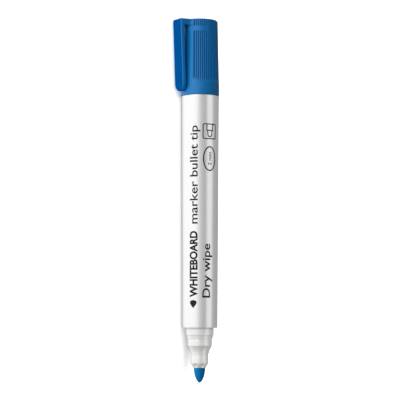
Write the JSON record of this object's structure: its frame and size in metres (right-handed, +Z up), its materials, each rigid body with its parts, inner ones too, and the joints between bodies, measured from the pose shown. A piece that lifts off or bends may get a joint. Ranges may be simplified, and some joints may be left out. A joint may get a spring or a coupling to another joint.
{
  "type": "felt tip marker",
  "caption": "Whiteboard felt tip marker lying on its side: round pearl-grey barrel, stepped white nib holder, blue bullet nib, ribbed blue clip cap posted on the rear end.",
  "frame": {"origin": "centre of the underside of the object's box, on the table that it lies on", "axes": "+X along the pen from the cap's closed end towards the nib, +Z up, the clip on the -Y side with its corner on the table"},
  "size_m": [0.149, 0.0192, 0.0157],
  "materials": {
    "blue_felt": "pressed fibre soaked with blue ink",
    "white_plastic": "satin white polypropylene",
    "barrel_pearl": "satin pearl-grey polypropylene with a fine metallic shimmer",
    "inked_fibre": "polyester fibre bundle soaked with blue ink",
    "clear_film": "thin clear film",
    "cap_blue": "satin blue polypropylene",
    "print_ink": "black pad print"
  },
  "bodies": {
    "barrel": {"barrel": "barrel_pearl", "nib_holder": "white_plastic", "nib": "blue_felt", "ink_reservoir": "inked_fibre", "reservoir_film": "clear_film", "end_plug": "cap_blue"},
    "inner_cap": {"inner_cap": "white_plastic"},
    "cap": {"cap_shell": "cap_blue"},
    "clip": {"clip": "cap_blue"}
  },
  "joints": [
    {"name": "cap_pull", "type": "slide", "parent": "barrel", "child": "inner_cap", "axis": [-1, 0, 0], "range_m": [0, 0.03]},
    {"name": "cap_turn", "type": "hinge", "parent": "inner_cap", "child": "cap", "pos_m": [-0.043, 0.00172, 0.00788], "axis": [1, 0, 0], "continuous": true},
    {"name": "clip_flex", "type": "hinge", "parent": "cap", "child": "clip", "pos_m": [-0.0718, -0.00824, 0.00287], "axis": [0, 0.4498, -0.8932], "range_deg": [0, 5], "stiffness_Nm_per_rad": 1}
  ]
}
